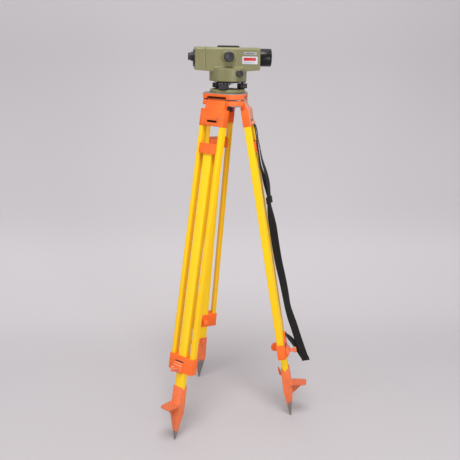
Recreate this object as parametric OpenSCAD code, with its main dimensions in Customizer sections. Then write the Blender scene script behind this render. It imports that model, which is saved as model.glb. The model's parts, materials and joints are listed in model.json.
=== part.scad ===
// Surveying level standing on its wooden tripod, in millimetres.
// The origin is on the ground under the vertical axis. +Z is up, and +X is the
// way in which the telescope looks. Names that end in _z are heights above the
// head's top, and names that end in _down are distances down a leg from its hinge.

/* [Tripod head] */
// Height of the head's top above the ground
head_height = 1100; // [950:10:1250]
// Thickness of the head plate
plate_t = 10; // [8:0.5:11]
// Distance from the centre to each straight side of the head
side_r = 56.9; // [55:0.1:62]
// Distance from the centre to each cut corner of the head
corner_r = 73; // [70:0.5:80]
// Radius of the hole in the head
head_hole_r = 30; // [28:0.5:33]
// Depth of the clamp joint's lower caps under the head's top
cap_bottom = 36; // [33:0.5:40]
// Width of the slit between the head's jaws and the caps
slit_w = 3.5; // [2:0.5:5]
// Radius of the bolts that hold the caps
cap_bolt_r = 3; // [2:0.5:4]
// Height of a cap bolt's head
cap_bolt_head_h = 5; // [3:0.5:7]

/* [Leg hinges] */
// Direction of the right leg, seen from above, in degrees from +X
right_leg_az = -14.35; // [-30:1:0]
// Lean of each leg from the vertical
leg_lean = 10.2; // [7:0.2:14]
// Distance of each hinge pin from the centre
hinge_r = 45; // [43:0.5:48]
// Depth of the hinge pins under the head's top
hinge_drop = 19; // [18.5:0.5:23]
// Radius of the hinge pins
pin_r = 5; // [3.5:0.5:6]
// Radius of the barrel that turns on a pin
barrel_r = 8; // [7:0.25:8.5]
// Width of the barrel and of the neck under it
barrel_w = 72; // [64:1:74]
// Gap between the barrel and the jaws beside it
lug_gap = 2; // [0.5:0.5:4]

/* [Hinge blocks] */
// Distance down the leg to the shoulders of the block
block_top_down = 31; // [29:1:36]
// Distance down the leg to the lower edge of the block
block_end_down = 82; // [74:1:96]
// Thickness of the block from its inner to its outer face
block_t = 25; // [24:0.5:30]
// Wall of the hollow block
block_wall = 3; // [2:0.5:4]
// Length of the slot in the block's outer face
block_slot_w = 37; // [20:1:44]

/* [Wooden legs] */
// Width over both rails of a leg
leg_w = 90; // [84:1:100]
// Width of one rail
rail_w = 13; // [11:0.5:16]
// Depth of the rails and the board
wood_d = 21.5; // [19:0.5:22]
// Distance of the leg's middle plane outside the hinge axis
leg_out = 10; // [9:0.5:12]
// Width of the sliding board
board_w = 30; // [24:1:34]
// Distance down the leg to the top of the slide bracket
bracket_down = 135; // [125:1:200]
// Height of the slide bracket
bracket_h = 31; // [20:1:45]
// Metal above the board inside the slide bracket
bracket_roof = 5; // [3:0.5:8]
// How far the slide bracket stands out in front of the rails
bracket_proud = 4.5; // [1:0.5:5]

/* [Clamp collars] */
// Gap between the clamp collar and the shoe with the board pushed in
shoe_gap = 50.3; // [44:1:200]
// Height of the clamp collar
collar_h = 52; // [46:1:55]
// Wall of the collar outside the wood
collar_wall = 3; // [2:0.25:4]
// Radius of the rounded boss on the collar's outer face
boss_r = 23; // [18:0.5:24]
// Width of the rounded boss
boss_w = 34; // [26:1:44]
// Distance of the boss and the wing screw from the middle of the leg
boss_off = 5; // [0:0.5:10]
// Height of the wing screw above the collar's lower edge
wing_up = 14; // [10:0.5:20]
// Radius of the wing screw's thread
wing_screw_r = 4; // [3:0.5:6]
// Height of the wing
wing_h = 20; // [14:1:30]
// Reach of the rounded catch on the collar's inner face
catch_reach = 11.5; // [6:0.5:16]

/* [Shoes] */
// Distance of the point inside the leg's middle plane
point_in = 5; // [0:0.5:8]
// Height of the shoe above the point
shoe_h = 185; // [170:1:200]
// Width of the shoe across the leg
shoe_w = 34; // [33:0.5:40]
// Wall of the shoe in front of and behind the board
shoe_wall = 2.75; // [2:0.25:4]
// Height above the point at which the board ends
board_seat = 98; // [90:1:110]
// Height of the pedal above the point
pedal_up = 130; // [120:1:140]
// Width of the pedal
pedal_w = 46; // [36:1:56]
// Reach of the pedal from the leg's middle plane
pedal_reach = 66; // [50:1:75]
// Thickness of the pedal and of the hook
pedal_t = 3; // [2:0.5:5]

/* [Carrying strap] */
// Width of the webbing
strap_w = 25; // [20:1:30]
// Thickness of the webbing
strap_t = 2.2; // [1.4:0.2:3]

/* [Fixing screw] */
// Radius of the fixing screw's thread
fixing_r = 7.9; // [7:0.1:8.5]
// Radius of the bore through the fixing screw
plumb_bore_r = 4; // [3:0.5:5]
// Radius of the fixing screw's knob
fixing_knob_r = 18; // [16:0.5:23]
// Depth of the knob's lower face under the head's top
fixing_knob_bottom = 58; // [50:1:70]
// Thickness of the knob
fixing_knob_h = 14; // [8:1:20]
// Travel of the fixing screw along the arm, each way
arm_travel = 14; // [8:0.5:16]
// Distance of the arm's pivot from the centre
arm_pivot_r = 37; // [36.5:0.1:38]
// Thickness of the arm
arm_t = 4; // [3:0.5:5]

/* [Base of the level] */
// Radius of the base plate
base_r = 55.5; // [52:0.5:60]
// Thickness of the base plate
base_t = 11; // [10:0.5:11.3]
// Direction of the foremost foot screw in degrees from +X
foot_az = 8.7; // [-30:1:30]
// Distance of each foot screw from the centre
foot_r = 46; // [45:0.1:46.2]
// Radius of a foot screw's knob
foot_knob_r = 15.5; // [12:0.5:16]
// Height of the lower face of the foot screws' knobs
foot_knob_z = 13; // [12.9:0.1:15]
// Thickness of the foot screws' knobs
foot_knob_h = 14.5; // [10:0.5:14.5]
// Radius of a foot screw's ball
ball_r = 5; // [4:0.25:5.5]
// Radius of a foot screw's stem
stem_r = 3.5; // [2.5:0.25:3.5]
// Height of the tribrach's underside
tribrach_z = 30; // [29.6:0.1:32]
// Thickness of the tribrach plate
tribrach_t = 4.5; // [3:0.25:6]
// Radius of the vertical spindle
spindle_r = 9; // [7:0.25:10]

/* [Lower housing] */
// Radius of the drum
drum_r = 57; // [57:0.25:62]
// Gap between the tribrach plate and the drum
drum_gap = 0.5; // [0.3:0.1:1.5]
// Height of the drum's top face
drum_top_z = 80; // [78:0.5:84]
// Height of the front ledge at the drum's side
ledge_z = 73; // [71:0.5:75]
// Rise of the front ledge towards the telescope
ledge_rise = 2; // [0:0.25:3]
// Wall of the drum
drum_wall = 4; // [2.5:0.25:4]
// Distance of the drive shaft in front of the vertical axis
drive_x = 29.7; // [26:0.1:33]
// Height of the drive shaft
drive_z = 59; // [58.5:0.1:59.5]
// Radius of a drive knob
drive_knob_r = 11; // [8:0.5:12]
// Distance from the vertical axis to a drive knob's outer face
drive_knob_y = 62; // [60:0.5:68]

/* [Telescope] */
// Distance from the vertical axis to the housing's front
front_x = 94; // [90:0.5:100]
// Distance from the vertical axis to the housing's back
back_x = 103; // [96:0.5:110]
// Half the width of the housing
house_y = 33; // [32:0.25:35]
// Height of the housing's top
house_top_z = 134.5; // [131:0.5:140]
// Height of the housing's lowest edge
house_low_z = 64.5; // [64.5:0.1:65.5]
// Rise of the housing's underside from the drum to the front end
nose_rise = 4.6; // [1:0.2:5]
// Radius of the housing's long edges
house_edge = 9; // [3:0.5:9]
// Wall of the housing
house_wall = 3; // [2:0.25:3.5]
// Distance from the vertical axis back to the seam of the eyepiece housing
seam_x = 72; // [70:0.5:80]
// Height of the line of sight
sight_z = 105.75; // [104:0.25:107]
// Radius of the objective hood
hood_r = 26.5; // [26:0.5:28]
// Radius of the hood's bore
hood_bore_r = 22; // [21.5:0.25:23]
// Length of the hood
hood_len = 36; // [24:0.5:50]
// Radius of the objective barrel's bore
barrel_bore_r = 18; // [15:0.25:18.5]
// Travel of the focusing cell, each way
focus_travel = 10; // [6:0.5:12]
// Radius of the focus knob
focus_knob_r = 15.3; // [11:0.1:17]
// Distance of the focus knob behind the vertical axis
focus_x = 2; // [0:0.5:6]
// Height of the focus knob
focus_z = 107.6; // [104:0.1:109]
// Thickness of the boss behind the focus knob
focus_boss_t = 4; // [2:0.5:6]
// Radius of the eyepiece flange
flange_r = 25; // [20:0.5:26]
// Radius of the eyepiece ring
eye_ring_r = 13.6; // [11:0.1:15]
// Width of the sight rail
sight_rail_w = 6; // [4:0.5:10]
// Height of the sight rail
sight_rail_h = 5; // [3:0.5:8]

/* [Bubble] */
// Radius of the circular bubble's cup
cup_r = 10; // [8:0.25:10.5]
// Height of the cup
cup_h = 10; // [7:0.5:12]

/* [Hidden] */

LEG_NAMES = ["front", "right", "rear"];
STRAP_LEG = "right";
SCREW_NAMES = ["foot_screw_1", "foot_screw_2", "foot_screw_3"];
leg_az = [right_leg_az - 120, right_leg_az, right_leg_az + 120];
lug_az = [for (a = leg_az) a + 60];
screw_az = [foot_az, foot_az - 120, foot_az + 120];

$fn = 64;
run = 0.05;        // radial clearance of a piece that turns or slides in a bore
fixed = 0.02;      // radial clearance of a piece that is pressed or glued in
slip = 0.3;        // clearance between flat faces that slide
far = 300;         // larger than any outline that it cuts

// Corners and lugs of the head
corner_half = (side_r - corner_r * cos(60)) / sin(60);
lug_y = barrel_w / 2 + lug_gap;
jaw_bottom = hinge_drop - slit_w / 2;
cap_top = hinge_drop + slit_w / 2;
lug_inner_r = arm_pivot_r + 10;
pin_end = hinge_r * tan(60) - 26;
bolt_u = corner_r - 12;
bolt_top = plate_t / 2;

// Leg lengths, from the hinge axis to the point
leg_len = (head_height - hinge_drop + (leg_out - point_in) * sin(leg_lean)) / cos(leg_lean);
rail_in = leg_w / 2 - rail_w;
wood_x = leg_out - wood_d / 2;
block_x = leg_out - block_t / 2 - 0.5;
collar_down = leg_len - shoe_h - shoe_gap - collar_h;
block_w = leg_w + 1.5;
rail_end_down = collar_down + collar_h - 6;
wing_down = collar_down + collar_h - wing_up;
collar_x = wood_x - collar_wall + 0.25;
collar_t = wood_d + 2 * collar_wall - 0.5;
boss_x = collar_x + collar_t;
boss_bulge = boss_r / 2;

// Fixing screw and arm
arm_top = plate_t + slip;
hub_top = arm_top + arm_t + slip;
fixing_top_z = base_t - 3;
arm_half = fixing_r + 5;
stud_r = 4;

// Base of the level
ball_z = ball_r + 2;
ball_plate_t = 1.6;
ball_plate_bore = 20;
tribrach_top_z = tribrach_z + tribrach_t;
drum_z = tribrach_top_z + drum_gap;
cave_r = drum_r - drum_wall;
lobe_r = cave_r - foot_r - slip;
stem_top_z = drum_z + 3;
lobe_top_z = stem_top_z + 4;
plate_z = lobe_top_z + 2;
stem_hole_r = stem_r + 1.7;
spring_z = tribrach_z - 4;
spring_t = 1.2;
arm_w = 20;
nose_r = 6;
spring_reach = 24;
hub_r = spindle_r + 5;
spindle_top_z = house_low_z - 2.5;
worm_r = 5;
wheel_r = drive_x - worm_r - 0.15;
wheel_z = drive_z - 3;
wheel_t = 5;
shaft_r = 3;
drive_knob_gap = 0.8;
drive_face_y = sqrt(drum_r * drum_r - pow(drive_x - drive_knob_r, 2));
ledge_fillet = drum_top_z - ledge_z - ledge_rise;

// Telescope, with the lengths of the sloping ends of its underside
heel_len = 40;
toe_len = 39.5;
floor_z = house_low_z + nose_rise + house_wall;
ceiling_z = house_top_z - house_wall;
lens_tube_r = barrel_bore_r + 3;
cell_len = 24;
cell_x = front_x - 79;
flange_z = sight_z - 4.5;
eye_tube_r = eye_ring_r - 4.6;
reticle_r = 12;
partition_x = seam_x + 4;
comp_x = -40;
comp_half_x = 20;
comp_y = house_y - house_wall - 5;
pivot_z = ceiling_z - 6.5;
button_r = 3;
button_y = -house_y + house_wall + button_r + 2.5;
button_z = house_low_z + 15.5;
cup_y = house_y + cup_r + 1.5;
cup_x = -20;

// Colours as the photograph shows them
ORANGE = [0.98, 0.42, 0.2];
YELLOW = [1, 0.82, 0.16];
GREEN = [0.6, 0.6, 0.42];
BLACK = [0.12, 0.12, 0.13];
STEEL = [0.7, 0.7, 0.72];
BRASS = [0.78, 0.64, 0.3];
GLASS = [0.75, 0.85, 0.9, 0.5];

// A cylinder along X from x1 to x2
module along_x(r, x1, x2) translate([x1, 0, 0]) rotate([0, 90, 0]) cylinder(r = r, h = x2 - x1);

// A cylinder along Y from y1 to y2
module along_y(r, y1, y2) translate([0, y1, 0]) rotate([-90, 0, 0]) cylinder(r = r, h = y2 - y1);

// A box between two opposite corners
module span(low, high) translate(low) cube(high - low);

// An outline in X and Z, as thick as given along Y about the middle
module upright(t) rotate([90, 0, 0]) translate([0, 0, -t / 2]) linear_extrude(t) children();

// Puts a piece of a leg in its place: X outwards, Z up along the leg
module leg_place(i) rotate([0, 0, leg_az[i]]) translate([hinge_r, 0, head_height - hinge_drop])
    rotate([0, -leg_lean, 0]) children();

// Puts a piece on the head
module on_head() translate([0, 0, head_height]) children();

// Puts a piece on the line of sight
module on_sight() translate([0, 0, head_height + sight_z]) children();

// A knob with finger flutes, standing on its origin
module fluted_knob(r, h, count) difference() {
    cylinder(r = r, h = h);
    for (k = [0:count - 1]) rotate([0, 0, k * 360 / count]) translate([r * 1.09, 0, -1])
        cylinder(r = r * 0.17, h = h + 2, $fn = 24);
}

// Tripod head

module head_outline() polygon([for (a = lug_az) for (s = [-1, 1])
    [corner_r * cos(a) - s * corner_half * sin(a), corner_r * sin(a) + s * corner_half * cos(a)]]);

// Plan of one lug: the corner outside the two barrels beside it
module lug_plan(a) difference() {
    intersection() {
        head_outline();
        rotate(a - 60) translate([-far, lug_y]) square([2 * far, far]);
        rotate(a + 60) translate([-far, -lug_y - far]) square([2 * far, far]);
    }
    circle(r = lug_inner_r);
}

module pin_bores(r) for (a = leg_az) rotate([0, 0, a])
    translate([hinge_r, 0, -hinge_drop]) along_y(r, -pin_end - fixed, pin_end + fixed);

module bolt_places() for (a = lug_az) rotate([0, 0, a]) translate([bolt_u, 0, 0]) children();

module tripod_head() color(ORANGE) on_head() difference() {
    union() {
        translate([0, 0, -plate_t]) linear_extrude(plate_t) head_outline();
        for (a = lug_az) translate([0, 0, -jaw_bottom]) linear_extrude(jaw_bottom - plate_t / 2)
            lug_plan(a);
        rotate([0, 0, lug_az[2]]) translate([arm_pivot_r, 0, 0]) {
            translate([0, 0, -hub_top]) cylinder(r = stud_r, h = hub_top - plate_t / 2);
            translate([0, 0, -hub_top - 2]) cylinder(r = stud_r + 2, h = 2);
        }
    }
    translate([0, 0, -plate_t - 1]) cylinder(r = head_hole_r, h = plate_t + 2);
    pin_bores(pin_r + fixed);
    bolt_places() translate([0, 0, -jaw_bottom - 1])
        cylinder(r = cap_bolt_r + fixed, h = jaw_bottom + 1 - bolt_top + 1);
}

module hinge_caps() color(ORANGE) on_head() difference() {
    for (a = lug_az) {
        translate([0, 0, -cap_bottom]) linear_extrude(cap_bottom - cap_top) lug_plan(a);
        // A step inside the slit, which ends just under the jaw
        translate([0, 0, -cap_top - 1]) linear_extrude(slit_w + 1 - 2 * slip)
            offset(delta = -3) lug_plan(a);
    }
    pin_bores(pin_r + fixed);
    bolt_places() translate([0, 0, -cap_bottom - 1])
        cylinder(r = cap_bolt_r + slip, h = cap_bottom);
}

module hinge_pins() color(STEEL) on_head() for (a = leg_az) rotate([0, 0, a])
    translate([hinge_r, 0, -hinge_drop]) along_y(pin_r, -pin_end, pin_end);

module cap_bolts() color(STEEL) on_head() bolt_places() {
    translate([0, 0, -cap_bottom - cap_bolt_head_h])
        cylinder(r = cap_bolt_r * 1.6, h = cap_bolt_head_h, $fn = 6);
    translate([0, 0, -cap_bottom]) cylinder(r = cap_bolt_r, h = cap_bottom - bolt_top);
}

// Arm and fixing screw under the head

module screw_arm() color(STEEL) on_head() rotate([0, 0, lug_az[2]])
    translate([0, 0, -arm_top - arm_t]) difference() {
        union() {
            translate([arm_pivot_r, 0, 0]) cylinder(r = stud_r + 4.5, h = arm_t);
            translate([0, -stud_r - 4.5, 0]) cube([arm_pivot_r, 2 * stud_r + 9, arm_t]);
            for (s = [-1, 1]) translate([s * arm_travel, 0, 0]) cylinder(r = arm_half, h = arm_t);
            translate([-arm_travel, -arm_half, 0]) cube([2 * arm_travel, 2 * arm_half, arm_t]);
        }
        translate([arm_pivot_r, 0, -1]) cylinder(r = stud_r + run, h = arm_t + 2);
        for (s = [-1, 1]) translate([s * arm_travel, 0, -1])
            cylinder(r = fixing_r + slip, h = arm_t + 2);
        translate([-arm_travel, -fixing_r - slip, -1])
            cube([2 * arm_travel, 2 * (fixing_r + slip), arm_t + 2]);
    }

module fixing_screw() color(BLACK) on_head() difference() {
    union() {
        translate([0, 0, -hub_top]) cylinder(r = fixing_r, h = hub_top + fixing_top_z);
        translate([0, 0, -fixing_knob_bottom]) cylinder(r = fixing_r + 4, h = fixing_knob_bottom - hub_top);
        translate([0, 0, -fixing_knob_bottom]) fluted_knob(fixing_knob_r, fixing_knob_h, 9);
    }
    translate([0, 0, -fixing_knob_bottom - 1])
        cylinder(r = plumb_bore_r, h = fixing_knob_bottom + fixing_top_z + 2);
}

// Legs, in leg places: Y runs across the leg

module hinge_block(strap_ear) color(ORANGE) difference() {
    union() {
        // Ear over the upper end of the strap
        if (strap_ear) span([block_x + block_t - 1, -strap_w / 2, -block_end_down + 2],
            [block_x + block_t + 7, strap_w / 2, -block_end_down + 10]);
        along_y(barrel_r, -barrel_w / 2, barrel_w / 2);
        upright(barrel_w) polygon([
            [-barrel_r * 0.95, -2], [barrel_r * 0.95, -2],
            [block_x + block_t - 4, -block_top_down - 1], [block_x, -block_top_down - 1]
        ]);
        span([block_x, -block_w / 2, -block_end_down], [block_x + block_t, block_w / 2, -block_top_down]);
    }
    along_y(pin_r + run, -barrel_w, barrel_w);
    // The hollow between the rails, open below
    span([block_x + block_wall, -rail_in + block_wall, -block_end_down - 1],
        [block_x + block_t - block_wall, rail_in - block_wall, -block_top_down - 2 * block_wall]);
    // Sockets for the rails' tenons
    for (s = [-1, 1]) rail_tenon(s, fixed, 1);
    // Slot in the outer face
    span([block_x + block_t - 2 * block_wall, -block_slot_w / 2 + 2.5, -block_end_down + 11.5],
        [block_x + block_t + 1, block_slot_w / 2 + 2.5, -block_end_down + 16.5]);
}

// Tenon at the top of a rail; gap widens it into its socket
module rail_tenon(side, gap, below) {
    mid = side * (leg_w / 2 - rail_w / 2);
    half = rail_w / 2 - 2;
    span([wood_x + 3 - gap, mid - half - gap, -block_end_down - below],
        [wood_x + wood_d - 3 + gap, mid + half + gap, -block_end_down + 22 + gap]);
}

module rails() color(YELLOW) for (s = [-1, 1]) {
    rail_tenon(s, 0, 0.01);
    span([wood_x, min(s * rail_in, s * leg_w / 2), -rail_end_down],
        [wood_x + wood_d, max(s * rail_in, s * leg_w / 2), -block_end_down]);
}

module collar(strap_ear) color(ORANGE) difference() {
    union() {
        // Upright ear for the lower end of the strap
        if (strap_ear) span([boss_x - 2, strap_ear_y - strap_w / 2 - 1, -collar_down - 10],
            [boss_x + 3, strap_ear_y + strap_w / 2 + 1, -collar_down + 20]);
        span([collar_x, -leg_w / 2 - collar_wall, -collar_down - collar_h],
            [boss_x, leg_w / 2 + collar_wall, -collar_down]);
        // Rounded boss that carries the wing screw
        intersection() {
            translate([boss_x - boss_bulge, -boss_off, -wing_down])
                along_y(boss_r, -boss_w / 2, boss_w / 2);
            span([boss_x - 1, -boss_off - boss_w / 2, -wing_down - boss_r],
                [boss_x + boss_r, -boss_off + boss_w / 2, -wing_down + boss_r]);
        }
        // Rounded catch on the inner face
        translate([collar_x - catch_reach, 0, -collar_down - 24]) along_y(12, -8, 8);
        span([collar_x - catch_reach, -8, -collar_down - 36], [collar_x + 1, 8, -collar_down - 12]);
    }
    // Passage of the board
    span([wood_x - slip, -board_w / 2 - slip, -collar_down - collar_h - 1],
        [wood_x + wood_d + slip, board_w / 2 + slip, -collar_down + 1]);
    // Pockets of the rails
    for (s = [-1, 1]) span(
        [wood_x - fixed, min(s * (rail_in - fixed), s * (leg_w / 2 + fixed)), -rail_end_down - fixed],
        [wood_x + wood_d + fixed, max(s * (rail_in - fixed), s * (leg_w / 2 + fixed)), -collar_down + 1]);
    translate([0, -boss_off, -wing_down]) along_x(wing_screw_r + run, wood_x + wood_d, boss_x + boss_r);
}

module wing_screw() color(ORANGE) translate([0, -boss_off, -wing_down]) {
    tip_x = wood_x + wood_d + slip;
    hub_x = boss_x + boss_r - boss_bulge + slip;
    along_x(wing_screw_r, tip_x, hub_x + 1);
    along_x(wing_screw_r + 3, hub_x, hub_x + 5);
    along_x(wing_screw_r + 1, hub_x + 4, hub_x + 13);
    // The wing, an upright oval
    translate([hub_x + 17, 0, 0]) {
        for (s = [-1, 1]) translate([0, 0, s * (wing_h / 2 - 6)]) along_y(6, -3.5, 3.5);
        translate([-6, -3.5, -wing_h / 2 + 6]) cube([12, 7, wing_h - 12]);
    }
}

module board() color(YELLOW) span(
    [wood_x, -board_w / 2, -leg_len + board_seat],
    [wood_x + wood_d, board_w / 2, -bracket_down - bracket_roof]);

module slide_bracket() color(ORANGE) difference() {
    span([wood_x - 1.5, -rail_in + slip, -bracket_down - bracket_h],
        [wood_x + wood_d + bracket_proud, rail_in - slip, -bracket_down]);
    span([wood_x - fixed, -board_w / 2 - fixed, -bracket_down - bracket_h - 1],
        [wood_x + wood_d + fixed, board_w / 2 + fixed, -bracket_down - bracket_roof]);
}

// Shoe: its own heights run up from the point
module shoe() color(ORANGE) translate([0, 0, -leg_len]) {
    front = wood_x + wood_d + shoe_wall;
    back = wood_x - shoe_wall;
    difference() {
        union() {
            hull() {
                translate([leg_out - point_in, 0, 2]) sphere(r = 2, $fn = 16);
                span([leg_out - point_in - 3.5, -4.5, 27], [leg_out - point_in + 5.5, 4.5, 28]);
                span([back - 2, -shoe_w / 2, board_seat], [front + 2, shoe_w / 2, board_seat + 2]);
            }
            hull() {
                span([back - 2, -shoe_w / 2, board_seat], [front + 2, shoe_w / 2, board_seat + 2]);
                span([back, -shoe_w / 2, shoe_h - 1], [front, shoe_w / 2, shoe_h]);
            }
            pedal();
            hook();
        }
        span([wood_x - fixed, -board_w / 2 - fixed, board_seat],
            [wood_x + wood_d + fixed, board_w / 2 + fixed, shoe_h + 1]);
        // The side walls dip in a notch
        upright(2 * shoe_w) polygon([
            [leg_out - 9, shoe_h + 1], [leg_out, shoe_h - 13], [leg_out + 9, shoe_h + 1]
        ]);
    }
}

// Foot pedal with its gusset
module pedal() translate([leg_out, 0, pedal_up]) {
    root = wood_d / 2 + 0.5;
    rotate([0, 5.5, 0]) translate([0, 0, -pedal_t]) linear_extrude(pedal_t) hull() {
        translate([root, -pedal_w / 2]) square([14, pedal_w]);
        for (s = [-1, 1]) translate([pedal_reach - 13, s * (pedal_w / 2 - 14)]) circle(r = 13);
    }
    upright(4) polygon([
        [root, -2], [pedal_reach - 8, -8], [pedal_reach - 10, -10], [root + 2, -45]
    ]);
}

// Hook on the inner face, open upwards
module hook() translate([wood_x - shoe_wall, 0, 0]) upright(12) polygon([
    [0.5, shoe_h - 28], [0.5, shoe_h - 17], [-4, shoe_h - 19], [-5.5, shoe_h - 9],
    [-8.5, shoe_h + 1], [-11.5, shoe_h], [-9.5, shoe_h - 22], [-5, shoe_h - 28]
]);

// Strap on the right leg: points are across the leg, as [outwards, sideways, up, turn],
// and a turn of 90 shows its flat face from the side
strap_route = [
    [26, 0, -80, 0], [27.5, 0, -100, 0], [29, 0, -125, 5], [31, 0, -150, 10],
    [32, 0, -180, 20], [34, 0, -216, 35], [37, 0, -254, 50], [39, 0, -293, 40],
    [39, 0, -326, 20], [36.5, 0, -345, 25], [37, 0, -380, 50], [38.5, 0, -420, 75],
    [38.5, 0, -460, 80], [40, 0, -530, 75], [45, 0, -600, 65], [47, 0, -640, 60],
    [49, 0, -692, 50], [54, 0, -730, 65], [60, 0, -762, 80], [68, 0, -811, 85],
    [76, 0, -855, 88], [83, 0, -890, 90], [84, 2, -895, 90], [84, 6, -895, 90],
    [82, 9, -889, 90], [70, 10, -865, 88], [58, 10, -842, 80], [46, 10, -822, 60],
    [36, 10, -808, 30], [30, 10, -800, 0], [28.4, 10, -793, 0]
];
strap_n = len(strap_route);
strap_ear_y = 10;

function unit(v) = v / norm(v);
function strap_at(i) = [strap_route[i][0], strap_route[i][1], strap_route[i][2]];
function strap_along(i) = unit(strap_at(min(i + 1, strap_n - 1)) - strap_at(max(i - 1, 0)));
function strap_across(i) = let (t = strap_route[i][3], w = [sin(t), cos(t), 0], d = strap_along(i))
    unit(w - d * (w * d));
function strap_ring(i) = let (w = strap_across(i) * strap_w / 2,
    n = cross(strap_along(i), strap_across(i)) * strap_t / 2, p = strap_at(i))
    [p + w + n, p + w - n, p - w - n, p - w + n];

module carry_strap() color(BLACK) polyhedron(
    points = [for (i = [0:strap_n - 1]) for (p = strap_ring(i)) p],
    faces = concat(
        [[0, 1, 2], [0, 2, 3]],
        // Both flat faces are split along the same diagonal, so that they stay apart in a twist
        [for (i = [0:strap_n - 2]) for (k = [0:3]) let (a = 4 * i + k, b = 4 * i + (k + 1) % 4)
            each (k == 3 ? [[a, a + 4, b + 4], [a, b + 4, b]] : [[a, a + 4, b], [b, a + 4, b + 4]])],
        [let (e = 4 * (strap_n - 1)) [e, e + 2, e + 1], let (e = 4 * (strap_n - 1)) [e, e + 3, e + 2]]
    ));

buckle_i = 8;
module strap_buckle() color(BLACK) translate(strap_at(buckle_i)) rotate([0, 0, -strap_route[buckle_i][3]])
    difference() {
        span([-4, -strap_w / 2 - 4, -11], [4, strap_w / 2 + 4, 11]);
        span([-strap_t - 0.6, -strap_w / 2 - 1.5, -12], [strap_t + 0.6, strap_w / 2 + 1.5, 12]);
    }

// Base of the level

module screw_places() for (a = screw_az) rotate([0, 0, a]) translate([foot_r, 0, 0]) children();

module base_plate() color(GREEN) on_head() difference() {
    union() {
        cylinder(r = base_r, h = base_t - 4);
        translate([0, 0, base_t - 4]) cylinder(r1 = base_r, r2 = base_r - 4, h = 4);
    }
    translate([0, 0, -1]) cylinder(r = fixing_r + run, h = base_t + 2);
    screw_places() {
        translate([0, 0, ball_z]) sphere(r = ball_r + run);
        translate([0, 0, ball_z]) cylinder(r = ball_r + run, h = base_t);
    }
}

// One thin plate over the three balls
module ball_caps() color(BLACK) on_head() translate([0, 0, base_t]) difference() {
    linear_extrude(ball_plate_t) hull() screw_places() circle(r = ball_r + 3, $fn = 32);
    translate([0, 0, -1]) cylinder(r = ball_plate_bore, h = ball_plate_t + 2);
    screw_places() translate([0, 0, -1]) cylinder(r = stem_r + run, h = ball_plate_t + 2);
}

module foot_screw(i) color(BLACK) on_head() rotate([0, 0, screw_az[i]]) translate([foot_r, 0, 0]) {
    translate([0, 0, ball_z]) sphere(r = ball_r);
    translate([0, 0, ball_z]) cylinder(r = stem_r, h = stem_top_z - ball_z);
    translate([0, 0, foot_knob_z]) fluted_knob(foot_knob_r, foot_knob_h, 10);
}

module spring_plate() color(STEEL) on_head() translate([0, 0, spring_z]) difference() {
    union() {
        cylinder(r = nose_r + 7, h = spring_t);
        for (a = screw_az) rotate([0, 0, a + 60]) {
            translate([0, -5, 0]) cube([spring_reach, 10, spring_t]);
            translate([spring_reach, 0, 0]) cylinder(r = 5, h = spring_t);
        }
    }
    translate([0, 0, -1]) cylinder(r = nose_r + 1, h = spring_t + 2);
}

module tribrach_plan() {
    circle(r = foot_r - 10);
    for (a = screw_az) rotate(a) {
        translate([foot_r / 2, -arm_w / 2]) square([foot_r / 2, arm_w]);
        translate([foot_r, 0]) circle(r = arm_w / 2 + 1);
    }
}

module tribrach() color(BLACK) on_head() difference() {
    union() {
        translate([0, 0, tribrach_z]) linear_extrude(tribrach_t) tribrach_plan();
        screw_places() translate([0, 0, tribrach_z + 1])
            cylinder(r = lobe_r, h = lobe_top_z - tribrach_z - 1);
        translate([0, 0, tribrach_z + 1]) cylinder(r = hub_r + 4, h = plate_z - 2 - tribrach_z);
        // Nose that carries the spring plate
        translate([0, 0, spring_z - 2]) cylinder(r = nose_r, h = tribrach_z - spring_z + 2.5);
        translate([0, 0, spring_z - 4]) cylinder(r = nose_r + 2.5, h = 2.7);
    }
    screw_places() translate([0, 0, tribrach_z - 1])
        cylinder(r = stem_hole_r, h = stem_top_z + 2 - tribrach_z + 1);
    translate([0, 0, tribrach_z + 2]) cylinder(r = spindle_r + fixed, h = plate_z);
}

module centre_axis() color(STEEL) on_head() translate([0, 0, tribrach_z + 2])
    cylinder(r = spindle_r, h = spindle_top_z - tribrach_z - 2);

module drive_wheel() color(BRASS) on_head() translate([0, 0, wheel_z]) difference() {
    cylinder(r = wheel_r, h = wheel_t);
    translate([0, 0, -1]) cylinder(r = spindle_r + run, h = wheel_t + 2);
}

// Outline of the telescope housing seen from the side, from x1 to x2
module house_side(x1, x2) intersection() {
    polygon([
        [-back_x, house_low_z + 2.9], [-back_x + heel_len, house_low_z], [front_x - toe_len, house_low_z + 1],
        [front_x, house_low_z + nose_rise], [front_x, house_top_z], [-back_x, house_top_z]
    ]);
    translate([x1, 0]) square([x2 - x1, 2 * house_top_z]);
}

// Solid form of the telescope housing from x1 to x2, with its rounded long edges
module house_form(x1, x2) intersection() {
    upright(2 * house_y) house_side(x1, x2);
    translate([x1, 0, 0]) rotate([90, 0, 90]) linear_extrude(x2 - x1) {
        translate([-house_y, 0]) square([2 * house_y, house_top_z - house_edge]);
        translate([-house_y + house_edge, 0]) square([2 * (house_y - house_edge), house_top_z]);
        for (s = [-1, 1]) translate([s * (house_y - house_edge), house_top_z - house_edge])
            circle(r = house_edge);
    }
}

// Outline of the drum, turned about the vertical axis
module drum_profile() polygon(concat(
    [[0, drum_z], [drum_r, drum_z]],
    [for (a = [0:15:90]) [drum_r - 6 + 6 * cos(a), drum_top_z - 8 + 8 * sin(a)]],
    [[0, drum_top_z]]
));

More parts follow.
